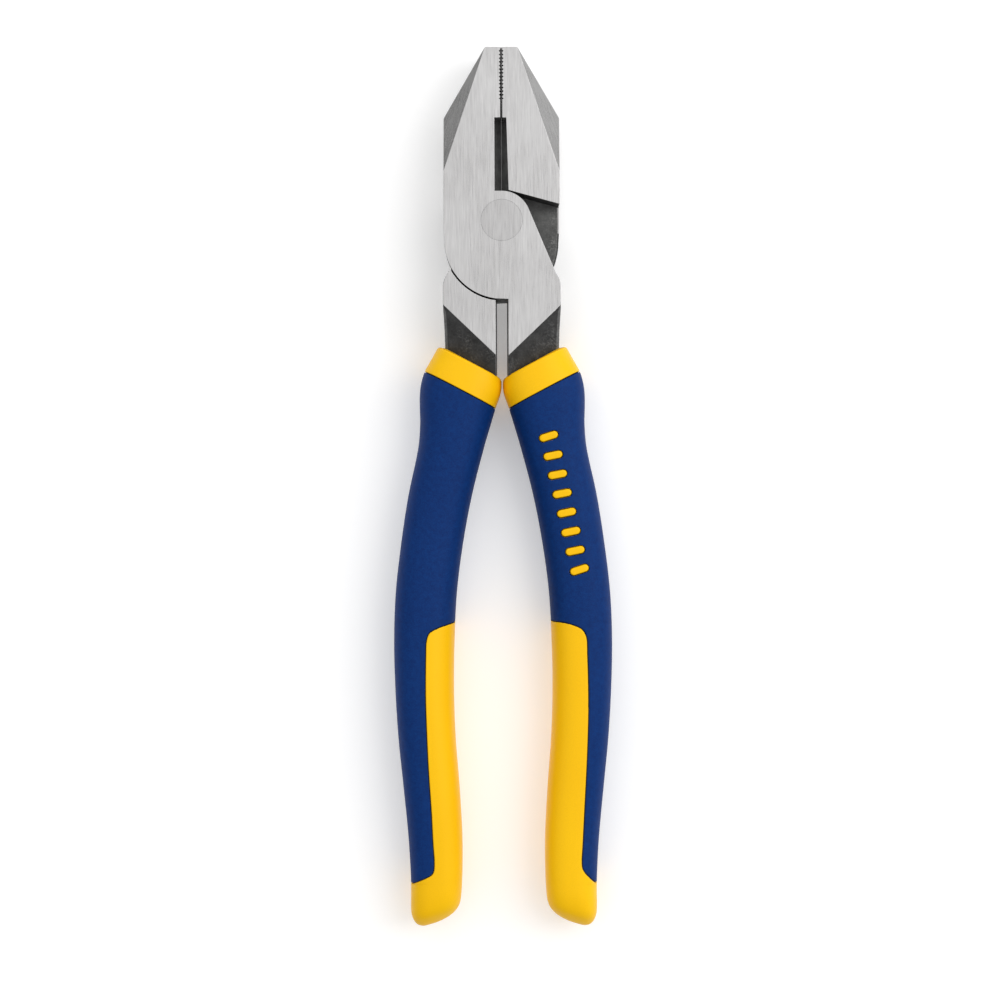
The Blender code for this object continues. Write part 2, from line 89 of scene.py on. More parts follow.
# The inner panel's edge on the near and the far face of the left grip. The right grip is the
# same moulding turned over, so it shows the far one on the front.
SEAM_NEAR = ((-10.0, -109.5), (-12.9, -110.0), (-15.6, -110.7), (-18.4, -111.7), (-20.2, -112.9),
             (-20.95, -114.9), (-21.15, -119.0), (-21.25, -130.3), (-21.0, -139.1), (-20.5, -150.7),
             (-19.75, -162.3), (-19.35, -170.6), (-19.05, -175.2), (-19.2, -177.8), (-19.8, -178.9),
             (-21.6, -179.95), (-23.7, -181.0), (-25.65, -181.95), (-27.0, -182.2))
SEAM_FAR = ((-10.0, -109.5), (-13.4, -109.8), (-16.8, -110.1), (-19.5, -110.8), (-21.6, -111.9),
            (-22.75, -113.9), (-23.05, -119.0), (-23.3, -130.3), (-23.1, -141.0), (-22.7, -150.7),
            (-22.1, -162.3), (-21.65, -171.1), (-21.4, -175.4), (-21.6, -177.3), (-22.4, -178.7),
            (-23.7, -180.1), (-24.75, -181.2), (-25.65, -181.95), (-27.0, -182.2))
MARKS, MARK_LONG, MARK_WIDE, MARK_SLANT = 8, 5.2, 2.0, 24.0
MARK_LINE = ((-59.2, 12.6), (-68.0, 14.6), (-77.0, 16.75), (-86.0, 18.75), (-95.6, 20.9))


# ------------------------------------------------------------------ helpers
def smooth(table, y, column=1):
    rows = [(row[0], row[column]) for row in table]
    if y >= rows[0][0]:
        return rows[0][1]
    if y <= rows[-1][0]:
        return rows[-1][1]

    def slope(k):
        a, b = rows[max(k - 1, 0)], rows[min(k + 1, len(rows) - 1)]
        return (b[1] - a[1]) / (b[0] - a[0])

    for k in range(len(rows) - 1):
        (y0, v0), (y1, v1) = rows[k], rows[k + 1]
        if y1 <= y <= y0:
            span = y1 - y0
            s = (y - y0) / span
            m0, m1 = slope(k) * span, slope(k + 1) * span
            return ((2 * s**3 - 3 * s**2 + 1) * v0 + (s**3 - 2 * s**2 + s) * m0
                    + (3 * s**2 - 2 * s**3) * v1 + (s**3 - s**2) * m1)
    return rows[-1][1]


def spline(points, step=0.12):
    """A Catmull-Rom curve through 2-D points, as an array of points about step apart."""
    p = np.array(points, float)
    p = np.vstack([2 * p[0] - p[1], p, 2 * p[-1] - p[-2]])
    out = []
    for k in range(1, len(p) - 2):
        p0, p1, p2, p3 = p[k - 1:k + 3]
        d = [max(np.linalg.norm(b - a), 1e-6) ** 0.5 for a, b in ((p0, p1), (p1, p2), (p2, p3))]
        m1 = (p2 - p1) + d[1] * ((p1 - p0) / d[0] - (p2 - p0) / (d[0] + d[1]))
        m2 = (p2 - p1) + d[1] * ((p3 - p2) / d[2] - (p3 - p1) / (d[1] + d[2]))
        n = max(2, int(np.linalg.norm(p2 - p1) / step))
        for i in range(n):
            s = i / n
            out.append((2 * s**3 - 3 * s**2 + 1) * p1 + (s**3 - 2 * s**2 + s) * m1
                       + (3 * s**2 - 2 * s**3) * p2 + (s**3 - s**2) * m2)
    out.append(p[-2])
    return np.array(out)


def distance_to(line, x, y):
    """Distance from (x, y) to a polyline."""
    a, b = line[:-1], line[1:]
    d = b - a
    t = np.clip(((x - a[:, 0]) * d[:, 0] + (y - a[:, 1]) * d[:, 1]) / np.maximum((d**2).sum(1), 1e-12), 0, 1)
    near = a + d * t[:, None]
    return float(np.sqrt(((near - (x, y)) ** 2).sum(1).min()))


def arc(centre, radius, start, stop, steps):
    return [(centre[0] + radius * math.cos(math.radians(start + (stop - start) * i / steps)),
             centre[1] + radius * math.sin(math.radians(start + (stop - start) * i / steps)))
            for i in range(steps + 1)]


def link(name, bm):
    bm.normal_update()
    mesh = bpy.data.meshes.new(name)
    bm.to_mesh(mesh)
    bm.free()
    obj = bpy.data.objects.new(name, mesh)
    scene.collection.objects.link(obj)
    return obj


def helper(name, bm):
    bm.normal_update()
    bmesh.ops.recalc_face_normals(bm, faces=bm.faces)
    return link(name, bm)


def skin(bm, rings, caps=True):
    for low, high in zip(rings, rings[1:]):
        for i in range(len(low)):
            j = (i + 1) % len(low)
            bm.faces.new((low[i], low[j], high[j], high[i]))
    if caps:
        bm.faces.new(rings[0])
        bm.faces.new(rings[-1])


def prism(name, outline, low, high, axes="xyz"):
    bm = bmesh.new()
    place = {"xyz": lambda u, v, w: (u, v, w), "xzy": lambda u, v, w: (u, w, v)}[axes]
    rings = [[bm.verts.new(Vector(place(u, v, w)) * MM) for u, v in outline] for w in (low, high)]
    skin(bm, rings)
    return helper(name, bm)


def half_space(name, point, normal, reach=90.0, height=30.0):
    turn = Vector(normal).to_track_quat("Z", "Y").to_matrix().to_4x4()
    move = Matrix.Translation(Vector(point) * MM)
    bm = bmesh.new()
    bmesh.ops.create_cube(bm, size=1.0)
    for vert in bm.verts:
        flat = Vector((vert.co.x * 2 * reach, vert.co.y * 2 * reach, (vert.co.z + 0.5) * height))
        vert.co = (move @ turn @ (flat * MM).to_4d()).to_3d()
    return helper(name, bm)


def turned(name, profile, sides):
    bm = bmesh.new()
    rings = [[bm.verts.new(Vector((r * math.cos(2 * math.pi * i / sides),
                                   r * math.sin(2 * math.pi * i / sides), z)) * MM)
              for i in range(sides)] for r, z in profile]
    skin(bm, rings)
    return helper(name, bm)


def worked(obj, steps, solver="EXACT"):
    """obj's mesh after each (helper, operation) Boolean; the helpers are removed."""
    for other, operation in steps:
        modifier = obj.modifiers.new("cut", "BOOLEAN")
        modifier.operation = operation
        modifier.solver = solver
        modifier.object = other
    bpy.context.view_layer.update()
    mesh = bpy.data.meshes.new_from_object(obj.evaluated_get(bpy.context.evaluated_depsgraph_get()))
    for other, _ in steps:
        bpy.data.objects.remove(other, do_unlink=True)
    obj.modifiers.clear()
    old, obj.data = obj.data, mesh
    bpy.data.meshes.remove(old)
    return obj


def turned_over(mesh, name):
    """A copy of a mesh turned half round the tool's long axis."""
    copy = mesh.copy()
    copy.name = name
    copy.transform(Matrix.Translation((0, 0, THICK * MM)) @ Matrix.Rotation(math.pi, 4, "Y"))
    return copy


# ------------------------------------------------------------------ grips (left handle)
COLLAR_LINE = np.array([(x, COLLAR_SEAM[0][1] + (x - COLLAR_SEAM[0][0])
                         * (COLLAR_SEAM[1][1] - COLLAR_SEAM[0][1]) / (COLLAR_SEAM[1][0] - COLLAR_SEAM[0][0]))
                        for x in (-45.0, 20.0)])
NEAR_LINE, FAR_LINE = spline(SEAM_NEAR), spline(SEAM_FAR)
SECTION_T = np.linspace(0, 2 * math.pi, 721)
SECTION_C, SECTION_S = np.cos(SECTION_T), np.sin(SECTION_T)
SECTION_U = np.sign(SECTION_C) * np.abs(SECTION_C) ** (2 / ROUNDNESS)
SECTION_V = np.sign(SECTION_S) * np.abs(SECTION_S) ** (2 / ROUNDNESS)


class Section:
    """One slanted section of the grip, from its outer end at outer_y."""

    def __init__(self, outer_y):
        inner_y = outer_y + smooth(SECTION_LEAN, outer_y)
        a = np.array((smooth(OUTER_EDGE, outer_y), outer_y))
        b = np.array((smooth(INNER_EDGE, inner_y), inner_y))
        self.y = outer_y
        self.centre, half = (a + b) / 2, (b - a) / 2
        self.length = float(np.linalg.norm(half))
        self.along = half / self.length
        self.depth = smooth(HALF_DEPTH, float(self.centre[1]))
        pu = SECTION_U * self.length
        pv = SECTION_V * self.depth
        self.arc = np.concatenate([[0], np.cumsum(np.hypot(np.diff(pu), np.diff(pv)))])

    def xy(self, u, inset=0.0):
        return self.centre + self.along * (max(self.length - inset, 0.05) * u)

    def point(self, u, v, inset=0.0):
        x, y = self.xy(u, inset)
        return x, y, MID + max(self.depth - inset, 0.05) * v

    def at_arc(self, s):
        s = s % self.arc[-1]
        return (float(np.interp(s, self.arc, SECTION_U)), float(np.interp(s, self.arc, SECTION_V)),
                float(np.interp(s, self.arc, SECTION_T)))

    def seam_arc(self, line, front):
        """Arc position where the panel's edge crosses this section, on the front or the rear half."""
        xs = lambda y: float(np.interp(-y, -line[:, 1], line[:, 0]))
        inner, outer = self.xy(1.0), self.xy(-1.0)
        if inner[1] > line[0, 1] or inner[0] <= xs(inner[1]):
            u = 1.0
        elif outer[1] < line[-1, 1] or outer[0] >= xs(outer[1]):
            u = -1.0
        else:
            low, high = -1.0, 1.0
            for _ in range(40):
                u = (low + high) / 2
                x, y = self.xy(u)
                seam = xs(y) if y <= line[0, 1] else 99.0
                low, high = (low, u) if x > seam else (u, high)
        half = len(SECTION_T) // 2
        s = float(np.interp(-u, -SECTION_U[:half + 1], self.arc[:half + 1]))
        return s if front else self.arc[-1] - s


def row_stations():
    """Outer y of every section, closer together where an edge or a seam crosses."""
    marks = [(-34.2, 0.1), (-35.4, 0.35), (-38.0, 0.8), (-40.0, 0.35), (-40.75, 0.09), (-41.2, 0.09),
             (-42.0, 0.35), (-45.0, 0.9), (-60.0, 1.3), (-106.0, 1.3), (-108.8, 0.25), (-115.8, 0.22),
             (-117.5, 0.8), (-120.0, 1.5), (-172.0, 1.5), (-175.2, 0.3), (-183.6, 0.22), (-184.6, 0.6),
             (-188.0, 0.6), (-190.3, 0.35), (-192.9, 0.2), (-193.8, 0.08), (-194.0, 0.05)]
    ys, y = [], marks[0][0]
    while y > -194.0:
        ys.append(y)
        y -= float(np.interp(-y, [-m[0] for m in marks], [m[1] for m in marks]))
    return ys + [-194.0]


SEAM_DEEP = 0.42    # depth of the seam between the two plastics
SEAM_R = 0.22       # rounding of both plastics into it
SEAM_HALF = 0.11    # half its width at the bottom
FINE = 2


def dip(d):
    """How far the skin lies below the section at a distance from the seam."""
    d -= SEAM_HALF
    if d <= 0.0:
        return SEAM_DEEP
    return 0.0 if d >= SEAM_R else SEAM_R - math.sqrt(SEAM_R**2 - (SEAM_R - d) ** 2)


def fractions(width, count):
    """count + 1 positions from 0 to width, crowded at both ends."""
    near = [0.0, 0.07, 0.16, 0.29, 0.46, 0.75, 1.2]
    if width < 1e-6:
        return [0.0] * (count + 1)
    scale = min(1.0, width / 8.0)
    left = [n * scale for n in near]
    inner = count - 2 * len(near) + 2
    start, stop = left[-1], width - left[-1]
    return left[:-1] + [start + (stop - start) * i / inner for i in range(inner + 1)] + \
        [width - n for n in reversed(left[:-1])]


ACROSS_A, ACROSS_B = 60, 60


def panel_span(y):
    section = Section(y)
    return section, section.seam_arc(NEAR_LINE, True), section.arc[-1] - section.seam_arc(FAR_LINE, False)


def grip_grids():
    """For each section: the columns of the panel side (A) and of the overmoulded side (B)."""
    rows = [panel_span(y) for y in row_stations()]
    step = 0.55
    k = 0
    while k < len(rows) - 1:
        (one, front, rear), (two, front2, rear2) = rows[k], rows[k + 1]
        if max(abs(front - front2), abs(rear - rear2)) > step and one.y - two.y > 0.003:
            rows.insert(k + 1, panel_span((one.y + two.y) / 2))
        else:
            k += 1
    grid = []
    for section, front, rear in rows:
        total = section.arc[-1]
        wide_a = front + rear
        wide_b = total - wide_a
        rear = total - rear
        side_a = [section.at_arc(rear + f) for f in fractions(wide_a, ACROSS_A)]
        side_b = [section.at_arc(front + f) for f in fractions(wide_b, ACROSS_B)]
        if wide_a < 0.5:
            wide_a, side_a = 0.0, [(1.0, 0.0, 0.0)] * (ACROSS_A + 1)
            side_b = [section.at_arc(f) for f in fractions(total, ACROSS_B)]
            side_b[-1] = side_b[0]
        if wide_b < 0.5:
            wide_b, side_b = 0.0, [(-1.0, 0.0, math.pi)] * (ACROSS_B + 1)
            side_a = [section.at_arc(total / 2 + f) for f in fractions(total, ACROSS_A)]
        grid.append((section, side_a, side_b, wide_a, wide_b))
    return grid


def seam_distance(x, y, v, collar):
    if collar:
        return distance_to(COLLAR_LINE, x, y)
    return min(distance_to(NEAR_LINE if v >= 0 else FAR_LINE, x, y), distance_to(COLLAR_LINE, x, y))


def collar_side(x, y):
    """Above zero on the collar's side of its lower edge."""
    (x0, y0), (x1, y1) = COLLAR_LINE
    return y - (y0 + (x - x0) * (y1 - y0) / (x1 - x0))


def shank_half(x, y):
    """Half thickness of the left shank at a point."""
    edge = Vector((SLOPE_A[0] - SLOPE_B[0], SLOPE_A[1] - SLOPE_B[1])).normalized()
    d = (-x - SLOPE_A[0]) * edge.y + (y - SLOPE_A[1]) * -edge.x
    return MID - max(0.0, d) * math.tan(math.radians(SLOPE_ANGLE))


def core_object(grid):
    """The hard first shot, one closed surface: room for the tang, collar, sleeve, panel, end cap."""
    bm = bmesh.new()
    rings = []

    def ring(points):
        rings.append([bm.verts.new(Vector(p) * MM) for p in points])

    first = grid[0]
    angles = [c[2] for c in first[1]] + [c[2] for c in first[2]]
    # Room for the tang, from its bottom up.
    for y in [-175.3] + [-163.0 + 12.0 * k for k in range(9)] + [-62.0, -57.0, -52.0, -48.0, -46.0]:
        x0, hw, hd = (smooth(TANG, y, k) for k in (1, 2, 3))
        tilt = math.tan(math.radians(27)) * max(0.0, min(1.0, (y + 70.0) / 28.0))
        points = []
        for t in angles:
            c, s = math.cos(t), math.sin(t)
            u = math.copysign(abs(c) ** (2 / 3.2), c) * (hw + 0.15)
            v = math.copysign(abs(s) ** (2 / 3.2), s) * (hd + 0.15)
            points.append((-x0 + u, y - u * tilt, MID + v))
        ring(points)
    # The wider room that the shank's end sits in.
    run = Vector((-1.55 + 15.85, -43.0 + 34.6)).normalized()
    for deep, slack in ((3.8, 0.04), (1.6, 0.04), (0.3, 0.04), (0.1, 0.1)):
        a = Vector((-15.75 - slack, -34.6)) + Vector((run.y, -run.x)) * deep
        b = Vector((-1.3 + slack, -42.55)) + Vector((run.y, -run.x)) * deep
        points = []
        for t in angles:
            c, s = math.cos(t), math.sin(t)
            u = math.copysign(abs(c) ** (2 / 7.0), c)
            v = math.copysign(abs(s) ** (2 / 7.0), s)
            p = (a + b) / 2 + (b - a) / 2 * u
            points.append((p.x, p.y, MID + v * (shank_half(p.x, p.y) + 0.02 + slack)))
        ring(points)
    # The collar's rounded top, then down the outside.
    top = first[0]
    ring([top.point(u, v, 0.42) for u, v, _ in first[1] + first[2]])
    for section, side_a, side_b, wide_a, wide_b in grid:
        y = section.y
        drop = max(0.0, y + 34.75)
        crown = 0.55 - math.sqrt(max(0.0, 0.55**2 - drop**2)) if drop < 0.55 else 0.55
        points, covered = [], []
        for side, cols in (("a", side_a), ("b", side_b)):
            for u, v, _ in cols:
                x, yy = section.xy(u)
                on_collar = collar_side(x, yy) > 0 and y > -60
                if on_collar:
                    inset = crown + dip(distance_to(COLLAR_LINE, x, yy))
                elif side == "a" and wide_a > 1e-6:
                    inset = dip(seam_distance(x, yy, v, False))
                else:
                    inset = OVER_WALL + 0.05
                    if y < -150 and wide_b < 1e-6:
                        inset = dip(seam_distance(x, yy, v, False))
                points.append(section.point(u, v, inset))
        ring(points)
        # Where the collar ends, the surface drops to the sleeve within one row.
    skin(bm, rings)
    bmesh.ops.remove_doubles(bm, verts=bm.verts, dist=2e-7)
    bmesh.ops.dissolve_degenerate(bm, dist=2e-7, edges=bm.edges)
    bmesh.ops.recalc_face_normals(bm, faces=bm.faces)
    return link("core", bm)


def over_object(grid):
    """The soft second shot, a closed shell over the sleeve."""
    bm = bmesh.new()
    outer, inner, wides = [], [], []
    for section, side_a, side_b, wide_a, wide_b in grid:
        x, yy = section.xy(0.0)
        if collar_side(x, yy) > -SEAM_HALF and section.y > -60:
            continue
        rim = dip(abs(collar_side(x, yy)) * 0.89)
        row_out, row_in = [], []
        for u, v, _ in side_b:
            x, yy = section.xy(u)
            inset = dip(seam_distance(x, yy, v, False))
            row_out.append(bm.verts.new(Vector(section.point(u, v, inset)) * MM))
            row_in.append(bm.verts.new(Vector(section.point(u, v, OVER_WALL)) * MM))
        outer.append(row_out)
        inner.append(row_in)
        wides.append(wide_a)
        if wide_b < 1e-6:
            break
    n = ACROSS_B
    for r in range(len(outer) - 1):
        for i in range(n):
            bm.faces.new((outer[r][i], outer[r][i + 1], outer[r + 1][i + 1], outer[r + 1][i]))
            bm.faces.new((inner[r][i], inner[r + 1][i], inner[r + 1][i + 1], inner[r][i + 1]))
        if wides[r + 1] > 1e-6:
            bm.faces.new((outer[r][0], outer[r + 1][0], inner[r + 1][0], inner[r][0]))
            bm.faces.new((outer[r][n], inner[r][n], inner[r + 1][n], outer[r + 1][n]))
    for i in range(n):
        bm.faces.new((outer[0][i], inner[0][i], inner[0][i + 1], outer[0][i + 1]))
    bmesh.ops.remove_doubles(bm, verts=bm.verts, dist=2e-7)
    bmesh.ops.dissolve_degenerate(bm, dist=2e-7, edges=bm.edges)
    bmesh.ops.recalc_face_normals(bm, faces=bm.faces)
    return link("over", bm)


def mark_seam(mesh):
    """Gives the faces in the bottom of the seam the second material, the painted seam shade."""
    for face in mesh.polygons:
        x, y, z = face.center / MM
        face.material_index = int(seam_distance(x, y, z - MID, False) < 0.125)


def surface_z(x, y, rear):
    """Height of the left grip's skin over (x, y), on its rear or front."""
    low, high = y - 14.0, y + 14.0
    for _ in range(40):
        mid = (low + high) / 2
        s = Section(mid)
        t = (x - s.centre[0]) / s.along[0]
        if s.centre[1] + s.along[1] * t > y:
            high = mid
        else:
            low = mid
    s = Section((low + high) / 2)
    u = min(abs((x - s.centre[0]) / s.along[0]) / s.length, 0.999)
    v = (1 - u**ROUNDNESS) ** (1 / ROUNDNESS)
    return MID + (-1 if rear else 1) * s.depth * v


def mark_outline(k, grow, steps=10):
    y = MARK_LINE[0][0] + (MARK_LINE[-1][0] - MARK_LINE[0][0]) * k / (MARKS - 1)
    lean = (smooth(MARK_LINE, y + 1) - smooth(MARK_LINE, y - 1)) / 2
    turn = math.atan(lean) + math.radians(MARK_SLANT)
    u = Vector((math.cos(turn), math.sin(turn)))
    v = Vector((-u.y, u.x))
    half = MARK_LONG / 2 - MARK_WIDE / 2
    r = MARK_WIDE / 2 + grow
    outline = []
    for end, first in ((1, -90), (-1, 90)):
        for i in range(steps + 1):
            a = math.radians(first + 180 * i / steps)
            at = u * (half * end + r * math.cos(a)) + v * (r * math.sin(a))
            outline.append((-(smooth(MARK_LINE, y) + at.x), y + at.y))
    return outline


def mark_windows():
    bm = bmesh.new()
    for k in range(MARKS):
        rings = [[bm.verts.new(Vector((x, y, z)) * MM) for x, y in mark_outline(k, 0.27)]
                 for z in (-6.0, MID - 1.0)]
        skin(bm, rings)
    return helper("windows", bm)


def mark_posts():
    bm = bmesh.new()
    for k in range(MARKS):
        rings = []
        deepest = MID - 5.0
        rings.append([bm.verts.new(Vector((x, y, deepest)) * MM) for x, y in mark_outline(k, 0.0)])
        for grow, drop in ((0.0, 0.28), (-0.03, 0.16), (-0.1, 0.06), (-0.2, 0.0), (-0.45, -0.02), (-0.8, -0.03)):
            rings.append([bm.verts.new(Vector((x, y, surface_z(x, y, True) + drop)) * MM)
                          for x, y in mark_outline(k, grow)])
        skin(bm, rings)
    return helper("posts", bm)


# ------------------------------------------------------------------ levers
def lap_edge(x):
    """The y of the lap's straight edge at x."""
    facing = math.radians(LAP_ANGLE)
    return (LAP_R - x * math.cos(facing)) / math.sin(facing)


def lever_outline():
    """One lever seen from the front: jaw on the left, handle on the right."""
    line = [(-JAW_GAP, NOSE_Y), (-JAW_GAP, TEETH_TOP_Y + 0.1)]
    for i in range(TEETH):
        top = TEETH_TOP_Y - i * TOOTH_PITCH
        line.append((-JAW_GAP, top - 0.12))
        line.append((-JAW_GAP - TOOTH_DEPTH, top - TOOTH_PITCH / 2 + 0.04))
        line.append((-JAW_GAP - TOOTH_DEPTH, top - TOOTH_PITCH / 2 - 0.04))
    line.append((-JAW_GAP, TEETH_TOP_Y - TEETH * TOOTH_PITCH))
    line.append((-JAW_GAP, CUTTER_TOP_Y))
    line.append((-KNIFE_GAP, CUTTER_TOP_Y - 0.05))
    # The lap: its arc, its straight edge, and the corner that rolls over into the shank's side.
    line += arc((0, 0), LAP_R, math.degrees(math.acos(-KNIFE_GAP / LAP_R)), LAP_ANGLE, 36)
    x = SHANK_OUT - 1.3
    y = lap_edge(x)
    line += [(x + 1.3 * (1 - (1 - k / 8) ** 1.9), y - 3.4 * k / 8) for k in range(9)]
    line += [(SHANK_OUT, -23.6), (16.08, -24.4), (16.04, -25.2), (15.985, -26.0), (15.92, -26.9)]
    line += [(15.75, -30.0), (15.55, SHANK_END_OUT_Y), (3.2, SHANK_END_IN_Y)]
    line += [(1.4, -42.3), (1.4, SLOT_TOP_Y)]
    low = math.degrees(math.asin((-1.6 - SHOULDER_C[0]) / SHOULDER_R))
    line += arc(SHOULDER_C, SHOULDER_R, -90 + low, -180, 60)
    line += [(-HALF_WIDTH + 0.04, -3.0), (-HALF_WIDTH, -1.4), (-HALF_WIDTH, SHOULDER_Y), (-NOSE_HALF, NOSE_Y)]
    return line


def rear_cutter_outline():
    """What the rear half lacks: the room of the other lever's lap."""
    slope = math.radians(JAW_SLOPE)
    foot = (-JAW_CLEAR * math.sin(slope), JAW_CLEAR * math.cos(slope))
    along = lambda x: foot[1] + (x - foot[0]) * math.tan(slope)
    centre = (-SHOULDER_C[0], SHOULDER_C[1])
    start = math.degrees(math.asin((HORN_Y + 2.6 - centre[1]) / (SHOULDER_R + 0.1)))
    stop = -90 + math.degrees(math.asin((SHANK_HALF_SLOT - 0.1 - centre[0]) / (SHOULDER_R + SHOULDER_GAP)))
    line = [(-26.0, along(-26.0)), (26.0, along(26.0)), (26.0, HORN_Y + 2.6)]
    for k in range(61):
        t = k / 60
        gap = 0.1 + (SHOULDER_GAP - 0.1) * min(1.0, t / 0.2) ** 0.8
        a = math.radians(start + (stop - start) * t)
        line.append((centre[0] + (SHOULDER_R + gap) * math.cos(a), centre[1] + (SHOULDER_R + gap) * math.sin(a)))
    line += [(SHANK_HALF_SLOT - 0.9, -27.0), (-26.0, -27.0)]
    return line


def knife_cutter(side):
    """The cutter notch, from the front (side = 1) or the rear (-1), where it widens downwards."""
    z = lambda up: MID + side * up
    bm = bmesh.new()
    rings = []
    for y, half in zip((CUTTER_LOW_Y if side > 0 else 7.0, CUTTER_TOP_Y),
                       (CUTTER_HALF, CUTTER_HALF) if side > 0 else CUTTER_REAR):
        section = [(-KNIFE_GAP, z(0.04)), (-KNIFE_GAP - 0.28, z(0.4)), (-half + 0.14, z(KNIFE_LAND)),
                   (-half, z(KNIFE_LAND + 0.5)), (-half, z(MID + 1.0)), (2.5, z(MID + 1.0)), (2.5, z(0.04))]
        rings.append([bm.verts.new(Vector((x, y, w)) * MM) for x, w in section])
    skin(bm, rings)
    return helper("cut", bm)


def jaw_groove_outline(side):
    """The eased inner edge of the jaws, (x, z)."""
    z = lambda up: MID + side * up
    return [(-JAW_GAP - 0.01, z(MID - 6.2)), (-0.3, z(MID - 5.9)), (-0.31, z(MID + 0.5)), (1.0, z(MID + 0.5)),
            (1.0, z(MID - 6.2))]


def draft_outline(side):
    """The inner wall of the shank leans in towards the mid plane."""
    z = lambda up: MID + side * up
    return [(1.4, z(0.25)), (SHANK_HALF_SLOT, z(MID - 1.6)), (SHANK_HALF_SLOT + 0.04, z(MID + 1.0)),
            (0.2, z(MID + 1.0)), (0.2, z(0.25))]


def tang_rings():
    rings = []
    for y in [-37.0 - 5.0 * k for k in range(5)] + [-67.0 - 12.0 * k for k in range(10)]:
        x, hw, hd = (smooth(TANG, y, k) for k in (1, 2, 3))
        tilt = math.tan(math.radians(27)) * max(0.0, min(1.0, (y + 70.0) / 28.0))
        ring = []
        for i in range(24):
            c, s = math.cos(2 * math.pi * i / 24), math.sin(2 * math.pi * i / 24)
            u = math.copysign(abs(c) ** (2 / 3.2), c) * hw
            v = math.copysign(abs(s) ** (2 / 3.2), s) * hd
            ring.append((x + u, y + u * tilt, MID + v))
        rings.append(ring)
    return rings


def lever_tang():
    bm = bmesh.new()
    skin(bm, [[bm.verts.new(Vector(p) * MM) for p in ring] for ring in tang_rings()])
    return helper("tang", bm)


def facet_plane(side):
    run = Vector((HALF_WIDTH - NOSE_HALF, NOSE_Y - FACET_LOW_Y)).normalized()
    tip = math.atan2(FACET_DROP, 4.86)
    return (-run.y * math.sin(tip), run.x * math.sin(tip), side * math.cos(tip))


WIDEST = 0.8
GROUND, FORGED, RUBBED_AND_HIGHLIT, CUT_AND_LIT, RECESS, FACET, TAPER = range(7)


def lever_finish(at, normal):
    """Which of the lever's finishes a face has."""
    x, y, z = at
    if abs(normal.z) > 0.995 and abs(abs(z - MID) - MID) < 0.1:
        return GROUND
    if x < -3.0 and y > FACET_LOW_Y - 1:
        if abs(normal.z) > 0.5:
            return FACET
        return TAPER if abs(normal.z) < 0.1 and normal.y > 0.3 and y < NOSE_Y - 0.1 else GROUND
    if x < -15.6 and y > -2.5 and abs(normal.x) > 0.99:
        return GROUND
    if normal.y > 0.99 and y > NOSE_Y - 0.1:
        return GROUND
    # Knife notch faces take a lighter grey: partly their cut finish, partly painted light standing in for light
    # reaching into the deep, narrow notch.
    if 7.5 < y < 28.1 and -2.1 < x < -0.03 and abs(z - MID) < MID - 0.1:
        return CUT_AND_LIT
    # The slot's inner shank wall takes the same lighter grey: painted light standing in for light falling into
    # the narrow slot.
    if y < -21.6 and 0.0 < x < 2.0 and normal.x < -0.5:
        return CUT_AND_LIT
    if abs(z - MID) < 0.3 and abs(normal.z) > 0.9:
        return RECESS
    return FORGED


def edge_width(at, along, one, two):
    """How far an edge of the lever is rounded, mm."""
    x, y, z = at
    flat = abs(abs(z - MID) - MID) < 0.02
    if y < -40.5 or (y < -36.5 and x < 14.5 and x > 2.6 and not flat and abs(z - MID) < 6.2):
        return 0.0
    if y > 27.4 and x > -0.9:
        return 0.0
    if 7.0 < y < 28.2 and -2.2 < x and abs(z - MID) < MID - 0.2:
        return 0.0
    if math.hypot(x, y) < 6.4:
        return 0.0
    if flat and x > 13.0 and y > -23.4:
        return 0.09
    if y < -23.2 and x > 13.5:
        return 0.09 + 0.66 * max(0.0, min(1.0, (-23.6 - y) / 2.0))
    if y < -20.0 and x > 0.0:
        return 0.08 if x < 2.4 else 0.2
    if abs(one.z) < 0.3 and abs(two.z) < 0.3:
        return 0.35
    if flat:
        return 0.05 if x < -2.5 and y > 12.0 else 0.09
    if abs(z - MID) < 0.3:
        return 0.75 if x < -12.5 and -14.0 < y < 7.0 else 0.22
    return 0.15


